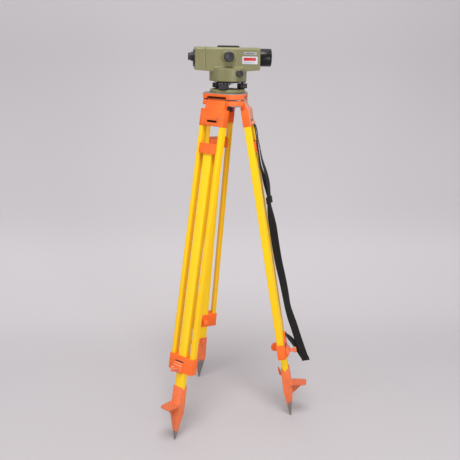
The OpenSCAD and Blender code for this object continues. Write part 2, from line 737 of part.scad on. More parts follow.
// Space over the drum's front ledge, which rises to a fillet along the telescope's housing
module ledge_space() translate([-drum_r - 1, 0, 0]) rotate([90, 0, 90]) linear_extrude(2 * drum_r + 2)
    let (fillet_y = -house_y - ledge_fillet, fillet_z = drum_top_z) polygon(concat(
        [[-drum_r - 1, ledge_z - 0.1]],
        [for (a = [-90:15:0]) [fillet_y + ledge_fillet * cos(a), fillet_z + ledge_fillet * sin(a)]],
        [[-house_y, drum_top_z + 1], [-drum_r - 1, drum_top_z + 1]]
    ));

module lower_housing() color(GREEN) on_head() difference() {
    union() {
        rotate_extrude($fn = 96) drum_profile();
        // Bosses behind the drive knobs
        translate([drive_x, 0, drive_z]) for (s = [-1, 1])
            rotate([90 * s, 0, 0]) cylinder(r = drive_knob_r + 1, h = drive_face_y);
    }
    house_form(-back_x, front_x);
    // Recess for the tribrach's lobes, under the bottom wall
    translate([0, 0, drum_z - 1]) cylinder(r = cave_r, h = plate_z - drum_z + 1);
    // Inside of the drum, with a hub about the spindle
    difference() {
        translate([0, 0, plate_z + 3]) cylinder(r = cave_r, h = house_low_z - plate_z - 3);
        translate([0, 0, plate_z]) cylinder(r = hub_r, h = wheel_z - 1 - plate_z);
    }
    span([-far, -house_y + 2, house_low_z - 0.1], [far, house_y - 2, house_low_z + 8]);
    translate([0, 0, plate_z - 1]) cylinder(r = spindle_r + run, h = drum_top_z - plate_z + 2);
    translate([drive_x, 0, drive_z]) along_y(shaft_r + run, -drum_r, drum_r);
    ledge_space();
}

module drive_knobs() color(BLACK) on_head() translate([drive_x, 0, drive_z]) {
    in_y = drive_face_y + drive_knob_gap;
    along_y(shaft_r, -drive_knob_y + 1, drive_knob_y - 1);
    along_y(worm_r, -10, 10);
    for (s = [-1, 1]) rotate([90 * s, 0, 0]) translate([0, 0, in_y])
        fluted_knob(drive_knob_r, drive_knob_y - in_y, 16);
}

module telescope_housing() color(GREEN) difference() {
    on_head() union() {
        house_form(-seam_x, front_x);
        // Boss behind the focus knob
        for (dx = [-8, 8]) translate([-focus_x + dx, 0, focus_z])
            along_y(14.5, -house_y - focus_boss_t, -house_y + 1);
        span([-focus_x - 8, -house_y - focus_boss_t, focus_z - 14.5],
            [-focus_x + 8, -house_y + 1, focus_z + 14.5]);
    }
    on_head() span([-seam_x - 1, -house_y + house_wall, floor_z],
        [front_x - house_wall, house_y - house_wall, ceiling_z - 2]);
    on_sight() along_x(lens_tube_r + fixed, front_x - house_wall - 1, front_x + 1);
    on_head() translate([-focus_x, 0, focus_z]) along_y(shaft_r + run, -house_y - focus_boss_t - 1, 0);
}

module eyepiece_housing() color(GREEN) difference() {
    on_head() house_form(-back_x, -seam_x);
    on_head() span([-back_x + house_wall, -house_y + house_wall, floor_z],
        [-partition_x, house_y - house_wall, ceiling_z - 2]);
    on_sight() along_x(eye_tube_r + fixed, -back_x - 1, -back_x + house_wall + 1);
    on_sight() along_x(reticle_r + fixed, -partition_x - 1, -seam_x + 1);
    on_head() translate([0, button_y, button_z]) along_x(button_r + run, -back_x - 1, -back_x + house_wall + 1);
}

module objective_barrel() color(BLACK) on_sight() difference() {
    along_x(lens_tube_r, cell_x - focus_travel - 3, front_x + 3);
    along_x(barrel_bore_r, cell_x - focus_travel - 4, front_x + 4);
}

module objective_lens() color(GLASS) on_sight() along_x(barrel_bore_r - fixed, front_x - 10, front_x - 2);

module objective_hood() color(BLACK) on_sight() difference() {
    along_x(hood_r, front_x, front_x + hood_len);
    along_x(lens_tube_r + fixed, front_x - 1, front_x + 3 + slip);
    along_x(hood_bore_r, front_x + 3 + slip, front_x + hood_len + 1);
}

module focusing_cell() color(BRASS) on_sight() difference() {
    along_x(barrel_bore_r - run, cell_x, cell_x + cell_len);
    along_x(barrel_bore_r - 3, cell_x - 1, cell_x + cell_len + 1);
}

module focusing_lens() color(GLASS) on_sight()
    along_x(barrel_bore_r - 3 - fixed, cell_x + cell_len / 2 - 2, cell_x + cell_len / 2 + 2);

module focus_knob() color(BLACK) on_head() translate([-focus_x, 0, focus_z]) {
    along_y(shaft_r, -house_y - focus_boss_t - 2, -house_y + house_wall + 4);
    translate([0, -house_y - focus_boss_t - 1, 0]) rotate([90, 0, 0]) fluted_knob(focus_knob_r, 14, 20);
}

module compensator_frame() color(STEEL) on_head() translate([comp_x, 0, 0]) difference() {
    union() {
        span([-comp_half_x, -comp_y, floor_z], [comp_half_x, comp_y, floor_z + 3]);
        for (s = [-1, 1]) span([-comp_half_x, s * comp_y - 1.5, floor_z],
            [comp_half_x, s * comp_y + 1.5, pivot_z + 3]);
    }
    translate([0, 0, pivot_z]) along_y(1.5 + run, -comp_y - 3, comp_y + 3);
}

module compensator_pendulum() color(BRASS) on_head() translate([comp_x, 0, 0]) {
    translate([0, 0, pivot_z]) along_y(1.5, -comp_y - 1.5, comp_y + 1.5);
    for (s = [-1, 1]) span([-3, s * 12 - 1, sight_z - 2], [3, s * 12 + 1, pivot_z]);
    span([-8, -13, sight_z - 13], [8, 13, sight_z + 9]);
}

module reticle() color(GLASS) on_sight() along_x(reticle_r, -seam_x - 3, -seam_x - 1);

module eyepiece_flange() color(BLACK) difference() {
    union() {
        on_head() translate([0, 0, flange_z]) along_x(flange_r, -back_x - 4, -back_x);
        on_sight() along_x(eye_tube_r, -back_x - 10, -back_x + house_wall);
    }
    on_sight() along_x(eye_tube_r - 2.5, -back_x - 11, -back_x + house_wall + 1);
}

module eyepiece_ring() color(BLACK) on_sight() difference() {
    union() {
        along_x(eye_ring_r, -back_x - 10.5, -back_x - 4 - slip);
        along_x(eye_ring_r - 2.6, -back_x - 19.3, -back_x - 10.5);
    }
    along_x(eye_tube_r + run, -back_x - 10 - slip, -back_x);
    along_x(eye_tube_r - 2, -back_x - 20, -back_x - 10);
}

module eyepiece_lens() color(GLASS) on_sight() along_x(eye_tube_r - 2 - fixed, -back_x - 17, -back_x - 14);

module check_button() color(BLACK) on_head() translate([0, button_y, button_z]) {
    along_x(button_r, -back_x - 4, -back_x + house_wall + 1);
    along_x(button_r + 1.5, -back_x + house_wall + slip, -back_x + house_wall + 2);
}

module sight_rail() color(BLACK) on_head() upright(sight_rail_w) polygon([
    [-35, house_top_z], [34, house_top_z], [31, house_top_z + sight_rail_h], [-32, house_top_z + sight_rail_h]
]);

// A thin plate on the side of the housing, with rounded corners
module side_plate(x1, z1, x2, z2) {
    r = 2;
    translate([0, -house_y - 0.6, 0]) {
        span([x1 + r, 0, z1], [x2 - r, 0.6, z2]);
        span([x1, 0, z1 + r], [x2, 0.6, z2 - r]);
        for (x = [x1 + r, x2 - r]) for (z = [z1 + r, z2 - r]) translate([x, 0, z]) along_y(r, 0, 0.6);
    }
}

module label_plates() color("silver") on_head() {
    side_plate(front_x - 51.4, house_top_z - 20.5, front_x - 11.8, house_top_z - 13.5);
    side_plate(front_x - 55.6, house_top_z - 48.1, front_x - 8.5, house_top_z - 25.7);
}

module bubble_cup() color(GREEN) on_head() translate([cup_x, cup_y, drum_top_z]) difference() {
    cylinder(r = cup_r, h = cup_h);
    translate([0, 0, 3]) cylinder(r = cup_r - 1.5, h = cup_h);
}

module bubble_vial() color(GLASS) on_head() translate([cup_x, cup_y, drum_top_z + 3])
    cylinder(r = cup_r - 1.5 - fixed, h = cup_h - 3.5);

// Prism over the bubble, with a foot on the housing's side
module bubble_prism() color(GLASS) on_head() translate([cup_x, house_y, drum_top_z + cup_h + 3]) {
    rotate([90, 0, 90]) translate([0, 0, -8]) linear_extrude(16)
        polygon([[0, 0], [18, 0], [18, 3], [3, 18], [0, 18]]);
}

tripod_head();
hinge_caps();
hinge_pins();
cap_bolts();
screw_arm();
fixing_screw();
for (i = [0:2]) {
    leg = LEG_NAMES[i];
    leg_place(i) hinge_block(leg == STRAP_LEG);
    leg_place(i) rails();
    leg_place(i) collar(leg == STRAP_LEG);
    leg_place(i) wing_screw();
    leg_place(i) board();
    leg_place(i) slide_bracket();
    leg_place(i) shoe();
    foot_screw(i);
}
leg_place(1) carry_strap();
leg_place(1) strap_buckle();
base_plate();
ball_caps();
spring_plate();
tribrach();
centre_axis();
drive_wheel();
lower_housing();
drive_knobs();
bubble_cup();
bubble_vial();
bubble_prism();
telescope_housing();
eyepiece_housing();
objective_barrel();
objective_lens();
objective_hood();
focusing_cell();
focusing_lens();
focus_knob();
compensator_frame();
compensator_pendulum();
reticle();
eyepiece_flange();
eyepiece_ring();
eyepiece_lens();
check_button();
sight_rail();
label_plates();
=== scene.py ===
"""A surveying level on its yellow wooden tripod, in metres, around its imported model.

Each piece is modelled in millimetres in the seat that it belongs to, the tripod's
head or one leg, and is then put into that seat.
"""

import json
import math

import bmesh
import bpy
from mathutils import Matrix, Vector


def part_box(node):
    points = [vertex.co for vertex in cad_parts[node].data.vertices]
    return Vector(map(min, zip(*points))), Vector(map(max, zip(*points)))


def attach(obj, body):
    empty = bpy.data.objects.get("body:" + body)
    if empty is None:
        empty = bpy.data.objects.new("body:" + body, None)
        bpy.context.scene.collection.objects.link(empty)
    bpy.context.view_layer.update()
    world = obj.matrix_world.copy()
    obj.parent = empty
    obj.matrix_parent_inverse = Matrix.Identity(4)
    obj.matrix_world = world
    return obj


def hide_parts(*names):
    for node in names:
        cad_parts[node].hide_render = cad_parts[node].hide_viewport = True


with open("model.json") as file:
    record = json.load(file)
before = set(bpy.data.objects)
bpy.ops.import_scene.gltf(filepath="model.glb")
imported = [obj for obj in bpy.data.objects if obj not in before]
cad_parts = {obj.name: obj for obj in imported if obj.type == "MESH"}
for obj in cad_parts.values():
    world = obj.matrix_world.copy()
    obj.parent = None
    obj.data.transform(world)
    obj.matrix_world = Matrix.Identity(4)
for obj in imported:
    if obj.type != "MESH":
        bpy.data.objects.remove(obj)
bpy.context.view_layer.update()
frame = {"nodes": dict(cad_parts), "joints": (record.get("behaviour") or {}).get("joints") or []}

# Camera. It stands about two metres away, a little above the tripod's head,
# and looks down at the whole instrument.

head_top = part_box("tripod_head")[1].z
stand = Vector((-0.2177, -2.0367, head_top + 0.1435))
heading = math.radians(83.44)
pitch = math.radians(15.93)
roll = math.radians(1.22)
film_width = 36.0
focal_share = 651.17 / 460

look = Vector((
    math.cos(heading) * math.cos(pitch),
    math.sin(heading) * math.cos(pitch),
    -math.sin(pitch),
))
level_right = Vector((math.sin(heading), -math.cos(heading), 0))
level_up = level_right.cross(look)
right = level_right * math.cos(roll) + level_up * math.sin(roll)
up = right.cross(look)
bpy.ops.object.camera_add()
camera = bpy.context.object
camera.data.sensor_width = film_width
camera.data.lens = film_width * focal_share
camera.matrix_world = Matrix((
    (right.x, up.x, -look.x, stand.x),
    (right.y, up.y, -look.y, stand.y),
    (right.z, up.z, -look.z, stand.z),
    (0, 0, 0, 1),
))
bpy.context.scene.camera = camera
bpy.context.scene.view_settings.view_transform = "Standard"

# Studio. A pale seamless floor curves up into the backdrop. A broad soft lamp
# hangs high over the camera, three weak ones fill from the right, the left and
# above, and pale light comes from all round.


def linear(red, green, blue):
    """A screen colour from 0 to 255 as the linear colour that a shader takes."""
    def one(value):
        value /= 255
        return value / 12.92 if value <= 0.04045 else ((value + 0.055) / 1.055) ** 2.4
    return (one(red), one(green), one(blue), 1)


def add(tree, kind, inputs=None, **settings):
    """A shader node with its settings, and its inputs set or linked."""
    node = tree.nodes.new("ShaderNode" + kind)
    for name, value in settings.items():
        setattr(node, name, value)
    for name, value in (inputs or {}).items():
        if isinstance(value, bpy.types.NodeSocket):
            tree.links.new(value, node.inputs[name])
        else:
            node.inputs[name].default_value = value
    return node


def mixed(tree, factor, first, second):
    """A colour between two colours."""
    return add(tree, "Mix", {0: factor, 6: first, 7: second}, data_type="RGBA").outputs[2]


def stepped(tree, value, low, high, out_low=0.0, out_high=1.0):
    """A value that rises smoothly from out_low at low to out_high at high."""
    return add(tree, "MapRange", {
        "Value": value, "From Min": low, "From Max": high, "To Min": out_low, "To Max": out_high,
    }, interpolation_type="SMOOTHSTEP").outputs["Result"]


def noise(tree, place, scale, detail=3.0):
    return add(tree, "TexNoise", {
        "Vector": place, "Scale": scale, "Detail": detail, "Roughness": 0.6,
    }).outputs["Fac"]


def joined_math(tree, operation, first, second):
    return add(tree, "Math", {0: first, 1: second}, operation=operation).outputs[0]


def split(tree, vector):
    """The X, Y and Z of a place or a direction."""
    return add(tree, "SeparateXYZ", {0: vector}).outputs


def fresh_material(name, **values):
    """A material with values on its shader's own sockets.

    Returns it with its tree, its shader and its Object coordinates.
    """
    material = bpy.data.materials.new(name)
    material.use_nodes = True
    tree = material.node_tree
    shader = tree.nodes["Principled BSDF"]
    for label, value in values.items():
        socket = label.replace("_", " ").title().replace("Ior", "IOR")
        shader.inputs[socket].default_value = value
    return material, tree, shader, add(tree, "TexCoord").outputs["Object"]


def deselect():
    if bpy.context.mode != "OBJECT":
        bpy.ops.object.mode_set(mode="OBJECT")
    bpy.ops.object.select_all(action="DESELECT")


def activate(piece):
    deselect()
    piece.select_set(True)
    bpy.context.view_layer.objects.active = piece


def pick(piece, kind, test):
    """Selects the faces or edges that pass the test, in edit mode, and nothing else."""
    if bpy.context.mode != "EDIT_MESH":
        activate(piece)
        bpy.ops.object.mode_set(mode="EDIT")
    bpy.ops.mesh.select_mode(type="FACE" if kind == "faces" else "EDGE")
    bpy.ops.mesh.select_all(action="DESELECT")
    mesh = bmesh.from_edit_mesh(piece.data)
    for element in getattr(mesh, kind):
        element.select_set(bool(test(element)))
    mesh.select_flush_mode()
    bmesh.update_edit_mesh(piece.data)


def studio_paper():
    """Matt paper, faintly cloudy, with a painted paler glow, a pool of light, on the floor behind
    the tripod.
    """
    material, tree, shader, place = fresh_material(
        "studio_paper", roughness=0.9, specular_ior_level=0.1)
    cloud = noise(tree, place, 0.8, 2.0)
    tone = mixed(tree, cloud, linear(187, 183, 185), linear(194, 190, 192))
    # Painted light: a paler glow on the floor behind the tripod, fading out up the backdrop's
    # curve.
    depth = split(tree, place)["Y"]
    band_start, band_end = stepped(tree, depth, 0.3, 0.85), stepped(tree, depth, 1.2, 1.5)
    band = joined_math(tree, "SUBTRACT", band_start, band_end)
    tree.links.new(mixed(tree, band, tone, linear(199, 195, 197)), shader.inputs["Base Color"])
    return material


floor_size, floor_middle = 8.0, -2.2
wall_height, wall_curve = 4.0, 1.2
wall_line = floor_middle + floor_size / 2

deselect()
bpy.ops.mesh.primitive_plane_add(size=floor_size, location=(0, floor_middle, 0))
studio = bpy.context.object
studio.name = "studio_floor"
bpy.ops.object.transform_apply()


def under_wall(edge):
    """The floor's back edge, where the backdrop rises."""
    return all(v.co.y > wall_line - 0.1 and v.co.z < 0.1 for v in edge.verts)


pick(studio, "edges", under_wall)
bpy.ops.mesh.extrude_edges_move(TRANSFORM_OT_translate={"value": (0, 0, wall_height)})
pick(studio, "edges", under_wall)
bpy.ops.mesh.bevel(offset=wall_curve, segments=24)
bpy.ops.mesh.select_all(action="SELECT")
bpy.ops.mesh.faces_shade_smooth()
bpy.ops.object.mode_set(mode="OBJECT")
studio.data.materials.append(studio_paper())

world = bpy.data.worlds.new("soft_room")
world.use_nodes = True
room_light = world.node_tree.nodes["Background"].inputs
room_light["Color"].default_value = linear(236, 236, 240)
room_light["Strength"].default_value = 0.52
bpy.context.scene.world = world

# Each lamp's name, place, what it points at, its size across and its power
for name, place, target, size, power in (
    ("key_lamp", (-0.3, -2.2, 5.4), (0, 0, 0.6), 2.4, 190),
    ("front_lamp", (1.5, -3.0, 0.8), (0, 0, 0.5), 1.6, 34),
    ("left_lamp", (-2.4, -1.8, 1.2), (0, 0, 0.6), 2.0, 14),
    ("top_lamp", (0.2, 0.6, 3.8), (0, 0, 0.3), 3.0, 20),
):
    deselect()
    bpy.ops.object.light_add(type="AREA", location=place)
    lamp = bpy.context.object
    lamp.name = name
    lamp.data.shape = "DISK"
    lamp.data.size = size
    lamp.data.energy = power
    lamp.rotation_euler = (Vector(target) - Vector(place)).to_track_quat("-Z", "Y").to_euler()

# Tripod head. A cast aluminium plate with three lugs, painted orange and bare
# on its flat top, with caps bolted under the lugs to grip the hinge pins.

MM = 0.001
HEAD = Matrix.Translation((0, 0, head_top))


def modify(piece, kind, **settings):
    """Adds a modifier and applies it."""
    activate(piece)
    modifier = piece.modifiers.new(kind.lower(), kind)
    for name, value in settings.items():
        setattr(modifier, name, value)
    bpy.ops.object.modifier_apply(modifier=modifier.name)


def soften(piece, width, segments=2, angle=30):
    """Rounds every edge that is sharper than the angle."""
    modify(piece, "BEVEL", width=width, segments=segments, limit_method="ANGLE",
           angle_limit=math.radians(angle), use_clamp_overlap=False)


def seated_copy(node, seat):
    """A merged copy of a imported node, in the millimetres of its seat."""
    piece = bpy.data.objects.new(node + "_finished", frame["nodes"][node].data.copy())
    bpy.context.collection.objects.link(piece)
    piece.data.materials.clear()
    piece.data.transform((seat @ Matrix.Scale(MM, 4)).inverted())
    activate(piece)
    bpy.ops.object.mode_set(mode="EDIT")
    bpy.ops.mesh.select_all(action="SELECT")
    bpy.ops.mesh.remove_doubles(threshold=0.004)
    bpy.ops.mesh.dissolve_limited(angle_limit=math.radians(0.5))
    bpy.ops.object.mode_set(mode="OBJECT")
    bpy.ops.mesh.customdata_custom_splitnormals_clear()
    return piece


def join(piece, *others):
    activate(piece)
    for other in others:
        other.select_set(True)
    bpy.ops.object.join()
    return piece


def settle(piece, seat, body, slot, material, *nodes):
    """Puts a finished piece into its seat, with its own coordinates, and hands it over."""
    local = piece.data.attributes.new("local", "FLOAT_VECTOR", "POINT")
    local.data.foreach_set("vector", [c * MM for v in piece.data.vertices for c in v.co])
    piece.data.transform(seat @ Matrix.Scale(MM, 4))
    activate(piece)
    bpy.ops.object.shade_smooth_by_angle(angle=math.radians(35))
    piece.data.materials.clear()
    piece.data.materials.append(material)
    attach(piece, body)
    if nodes:
        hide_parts(*nodes)


def refine(node, seat, body, slot, material, width, segments=2, angle=30):
    """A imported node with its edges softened, in its own material."""
    piece = seated_copy(node, seat)
    soften(piece, width, segments, angle)
    settle(piece, seat, body, slot, material, node)


def dress(material, *nodes):
    """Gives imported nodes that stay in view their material."""
    for node in nodes:
        piece = frame["nodes"][node]
        if not piece.material_slots:
            piece.data.materials.append(material)
        for row in piece.material_slots:
            row.material = material


def shader_group(name, inputs, output):
    """An empty node group; returns it with the sockets inside it."""
    tree = bpy.data.node_groups.new(name, "ShaderNodeTree")
    for label, kind, start in inputs:
        socket = tree.interface.new_socket(label, in_out="INPUT", socket_type="NodeSocket" + kind)
        if start is not None:
            socket.default_value = start
    tree.interface.new_socket(output, in_out="OUTPUT", socket_type="NodeSocketFloat")
    return tree, tree.nodes.new("NodeGroupInput").outputs, tree.nodes.new("NodeGroupOutput").inputs


def effect(tree, group, **inputs):
    """Places a node group and gives back what it puts out."""
    return add(tree, "Group", inputs, node_tree=group).outputs[0]


# Paint rubbed off along sharp edges: the width is in metres, the share from 0 to 1
edge_wear, have, give = shader_group("edge_wear", [
    ("Place", "Vector", None), ("Width", "Float", 0.001), ("Share", "Float", 0.5),
], "Wear")
rounded = add(edge_wear, "Bevel", {"Radius": have["Width"]}, samples=4).outputs[0]
true = add(edge_wear, "NewGeometry").outputs["Normal"]
agree = add(edge_wear, "VectorMath", {0: rounded, 1: true}, operation="DOT_PRODUCT")
sharp = stepped(edge_wear, agree.outputs["Value"], 0.985, 0.86)
patches = joined_math(edge_wear, "MULTIPLY", sharp, noise(edge_wear, have["Place"], 90, 5.0))
limit = joined_math(edge_wear, "SUBTRACT", 0.85, have["Share"])
edge_wear.links.new(joined_math(edge_wear, "GREATER_THAN", patches, limit), give["Wear"])

# Small chips knocked out of the paint on flat faces
chips, have, give = shader_group("chips", [
    ("Place", "Vector", None), ("Scale", "Float", 120.0), ("Share", "Float", 0.1),
], "Chips")
cells = add(chips, "TexNoise", {
    "Vector": have["Place"], "Scale": have["Scale"], "Detail": 4.0, "Roughness": 0.75,
}).outputs["Fac"]
limit = joined_math(chips, "SUBTRACT", 0.8, have["Share"])
spots = add(chips, "MapRange", {
    "Value": cells, "From Min": limit, "From Max": joined_math(chips, "ADD", limit, 0.015),
}, interpolation_type="LINEAR")
chips.links.new(spots.outputs["Result"], give["Chips"])


def shaded(colour, share):
    """The same colour, darker or lighter."""
    return tuple(share * c for c in colour[:3]) + (1,)


def emboss(tree, shader, height, strength, distance):
    """Raises the surface by a height map; the distance is in metres."""
    bump = add(tree, "Bump", {"Height": height, "Strength": strength, "Distance": distance})
    tree.links.new(bump.outputs[0], shader.inputs["Normal"])


# The near-black that dark masks mix in: painted shade in slits, hollows and creases, and the
# pedal's spots
PAINTED_SHADE_TONE = linear(34, 20, 18)


def painted_metal(name, colour, worn_colour, share, chip_share, bare=None, dark=None,
                  roughness=0.42, shine=0.35, metal_share=0.7):
    """Sprayed paint with chips and rubbed edges; bare shows the worn colour, and dark darkens the
    paint with painted shade and the pedal's dark spots.
    """
    material, tree, shader, place = fresh_material(name, specular_ior_level=shine)
    wear = effect(tree, edge_wear, Place=place, Width=0.0012, Share=share)
    spots = effect(tree, chips, Place=place, Scale=150.0, Share=chip_share)
    mask = joined_math(tree, "MAXIMUM", wear, spots)
    if bare:
        mask = joined_math(tree, "MAXIMUM", mask, bare(tree, place))
    faded = stepped(tree, noise(tree, place, 14, 3.0), 0.35, 0.7)
    paint = mixed(tree, faded, colour, shaded(colour, 0.86))
    grime = stepped(tree, noise(tree, place, 55, 6.0), 0.62, 0.85, 0.0, 0.35)
    paint = mixed(tree, grime, paint, shaded(colour, 0.55))
    # The dark mask paints shade into the colour, and on the shoes the pedal's dark spots.
    if dark:
        paint = mixed(tree, dark(tree, place), paint, PAINTED_SHADE_TONE)
    metal = mixed(tree, noise(tree, place, 400, 2.0), worn_colour, shaded(worn_colour, 0.7))
    tree.links.new(mixed(tree, mask, paint, metal), shader.inputs["Base Color"])
    gloss = stepped(tree, noise(tree, place, 40, 4.0), 0.3, 0.8,
                    roughness - 0.06, roughness + 0.1)
    duller = joined_math(tree, "MULTIPLY", mask, 0.06)
    tree.links.new(joined_math(tree, "ADD", gloss, duller), shader.inputs["Roughness"])
    tree.links.new(joined_math(tree, "MULTIPLY", mask, metal_share), shader.inputs["Metallic"])
    peel = joined_math(tree, "MULTIPLY", noise(tree, place, 900, 2.0), 0.25)
    emboss(tree, shader, joined_math(tree, "SUBTRACT", peel, mask), 0.3, 0.0003)
    return material


# Where the bare top ends and where the slits over the caps begin, in metres
bare_radius, flake_reach, slit_depth = 0.0815, 0.022, 0.0206


def bare_head_top(tree, place):
    """The flat top is bare metal; paint is left in flakes near its outer corners."""
    part = split(tree, place)
    facing = split(tree, add(tree, "NewGeometry").outputs["Normal"])["Z"]
    level = stepped(tree, part["Z"], head_top - 0.0009, head_top - 0.0002)
    top = joined_math(tree, "MULTIPLY", level, stepped(tree, facing, 0.5, 0.8))
    plan = add(tree, "CombineXYZ", {"X": part["X"], "Y": part["Y"]}).outputs[0]
    outward = add(tree, "VectorMath", {0: plan}, operation="LENGTH").outputs["Value"]
    flakes = joined_math(tree, "MULTIPLY", noise(tree, place, 70, 5.0), flake_reach)
    ragged = joined_math(tree, "ADD", outward, flakes)
    flat = joined_math(tree, "MULTIPLY", top,
                       stepped(tree, ragged, bare_radius, bare_radius - 0.002))
    wander = joined_math(tree, "MULTIPLY", noise(tree, place, 60, 5.0), 0.003)
    lip = joined_math(tree, "ADD", part["Z"], wander)
    rim = stepped(tree, lip, head_top - 0.0006, head_top - 0.0001)
    return joined_math(tree, "MAXIMUM", flat, rim)


def slit_painted_shade(tree, place):
    """Painted shade inside the slits over the caps."""
    slit = head_top - slit_depth
    return stepped(tree, split(tree, place)["Z"], slit - 0.0006, slit)


ORANGE = linear(255, 114, 40)
BARE = linear(176, 178, 180)
orange_paint = painted_metal("orange_paint", ORANGE, BARE, share=0.5, chip_share=0.1)
head_paint = painted_metal("head_paint", ORANGE, BARE, share=0.5, chip_share=0.1,
                           bare=bare_head_top)
cap_paint = painted_metal("cap_paint", ORANGE, BARE, share=0.5, chip_share=0.1,
                          dark=slit_painted_shade)

refine("tripod_head", HEAD, "tripod", "orange_metal", head_paint, 0.9)
refine("hinge_caps", HEAD, "tripod", "orange_metal", cap_paint, 0.9)


def plain_metal(name, colour, roughness):
    """Turned or rolled metal with fine marks and uneven shine."""
    material, tree, shader, place = fresh_material(name, metallic=1.0)
    marks = noise(tree, place, 500, 4.0)
    tree.links.new(mixed(tree, marks, colour, shaded(colour, 0.6)), shader.inputs["Base Color"])
    shine = stepped(tree, noise(tree, place, 60, 5.0), 0.3, 0.8,
                    roughness - 0.08, roughness + 0.15)
    tree.links.new(shine, shader.inputs["Roughness"])
    emboss(tree, shader, marks, 0.15, 0.0002)
    return material


steel = plain_metal("steel", linear(190, 190, 192), 0.34)
dark_steel = plain_metal("dark_steel", linear(92, 92, 95), 0.45)
refine("hinge_pins", HEAD, "tripod", "steel", steel, 0.5)
refine("cap_bolts", HEAD, "tripod", "steel", steel, 0.4)
refine("screw_arm", HEAD, "arm", "steel", dark_steel, 0.5)

# Fixing screw. A black moulded knob with finger flutes under the head; its steel
# thread holds the level down and is bored through for a plumb line.


def black_finish(name, colour, roughness, grain, relief, shine):
    """Black plastic or satin black lacquer with dust in its grain."""
    material, tree, shader, place = fresh_material(name, specular_ior_level=shine)
    dust = stepped(tree, noise(tree, place, 45, 6.0), 0.45, 0.8)
    tree.links.new(mixed(tree, dust, colour, shaded(colour, 1.9)), shader.inputs["Base Color"])
    duller = stepped(tree, dust, 0.0, 1.0, roughness, roughness + 0.16)
    tree.links.new(duller, shader.inputs["Roughness"])
    emboss(tree, shader, noise(tree, place, grain, 2.0), relief, 0.0002)
    return material


black_plastic = black_finish("black_plastic", linear(44, 44, 47), roughness=0.42,
                             grain=1400, relief=0.35, shine=0.45)
black_lacquer = black_finish("black_lacquer", linear(16, 16, 17), roughness=0.3,
                             grain=1500, relief=0.02, shine=0.3)
refine("fixing_screw", HEAD, "fixing_screw", "black_plastic", black_plastic, 0.8)

# Hinge blocks. A hollow casting at the top of each leg turns on its pin between
# two lugs of the head and holds the rails' tenons. It is painted orange.

JOINTS = {joint["name"]: joint for joint in frame["joints"]}


def leg_seat(leg):
    """The seat of a leg: its origin on the hinge pin, X outwards, Z up along the leg."""
    spread, slide = JOINTS[f"leg_{leg}_spread"], JOINTS[f"leg_{leg}_slide"]
    across = -Vector(spread["axis"]).normalized()
    along = -Vector(slide["axis"]).normalized()
    outward = across.cross(along)
    turn = Matrix((outward, across, along)).transposed().to_4x4()
    return Matrix.Translation(spread["pos_m"]) @ turn


def turned(name, outline, steps=64):
    """A shape turned about Z from its outline of (radius, height) points."""
    deselect()
    bpy.ops.mesh.primitive_plane_add(size=2)
    piece = bpy.context.object
    piece.name = name
    bpy.ops.object.mode_set(mode="EDIT")
    bpy.ops.mesh.select_mode(type="VERT")
    bpy.ops.mesh.select_all(action="SELECT")
    bpy.ops.mesh.merge(type="CENTER")
    bpy.ops.transform.translate(value=(outline[0][0], 0, outline[0][1]))
    for here, there in zip(outline, outline[1:]):
        bpy.ops.mesh.extrude_region_move(
            TRANSFORM_OT_translate={"value": (there[0] - here[0], 0, there[1] - here[1])})
    bpy.ops.mesh.select_all(action="SELECT")
    bpy.ops.mesh.spin(steps=steps, angle=2 * math.pi, center=(0, 0, 0), axis=(0, 0, 1))
    bpy.ops.mesh.select_all(action="SELECT")
    bpy.ops.mesh.remove_doubles(threshold=0.001)
    bpy.ops.mesh.normals_make_consistent(inside=False)
    bpy.ops.object.mode_set(mode="OBJECT")
    return piece


def copied(piece, name, move):
    """Another piece like this one, with its own mesh, moved by the matrix."""
    other = bpy.data.objects.new(name, piece.data.copy())
    bpy.context.collection.objects.link(other)
    other.data.transform(move)
    return other


def scattered(name, piece, places, turn):
    """One piece made of copies of a small part at each place; the first part is used up."""
    parts = [copied(piece, name, Matrix.Translation(place) @ turn) for place in places]
    bpy.data.objects.remove(piece)
    return join(*parts)


def leg_place(tree):
    """Where a point of a leg's piece is in its own seat, in metres."""
    return add(tree, "Attribute", attribute_name="local").outputs["Vector"]


def leg_part(tree):
    return split(tree, leg_place(tree))


def lone_math(tree, operation, value):
    return add(tree, "Math", {0: value}, operation=operation).outputs[0]


def product(tree, first, *others):
    """Masks multiplied together."""
    for other in others:
        first = joined_math(tree, "MULTIPLY", first, other)
    return first


# The hollow at the block's foot, in metres of the leg's seat
hollow_middle, hollow_reach, hollow_half, hollow_roof = 0.0108, 0.0113, 0.0298, -0.055


def block_painted_shade(tree, place):
    """Painted shade: dark on the barrel under the head's plate, in streaks down onto the neck, and
    dark in the hollow at its foot.
    """
    part = leg_part(tree)
    drawn_out = add(tree, "Mapping", {"Vector": place, "Scale": (1, 1, 0.15)}).outputs[0]
    streaks = joined_math(tree, "MULTIPLY", noise(tree, drawn_out, 160, 3.0), 0.009)
    height = joined_math(tree, "SUBTRACT", part["Z"], streaks)
    overhang_shade = stepped(tree, height, -0.012, 0.0005)
    across = lone_math(tree, "ABSOLUTE", part["Y"])
    inward = lone_math(tree, "ABSOLUTE", joined_math(tree, "SUBTRACT", part["X"], hollow_middle))
    hollow = product(
        tree,
        stepped(tree, across, hollow_half, hollow_half - 0.0006),
        stepped(tree, inward, hollow_reach, hollow_reach - 0.0004),
        stepped(tree, part["Z"], hollow_roof, hollow_roof - 0.005),
    )
    return joined_math(tree, "MAXIMUM", overhang_shade, hollow)


# The neck's outer face leans by this much and lies this far out; both are rubbed
neck_lean, neck_face, outer_face = 0.347, 0.0062, 0.0208


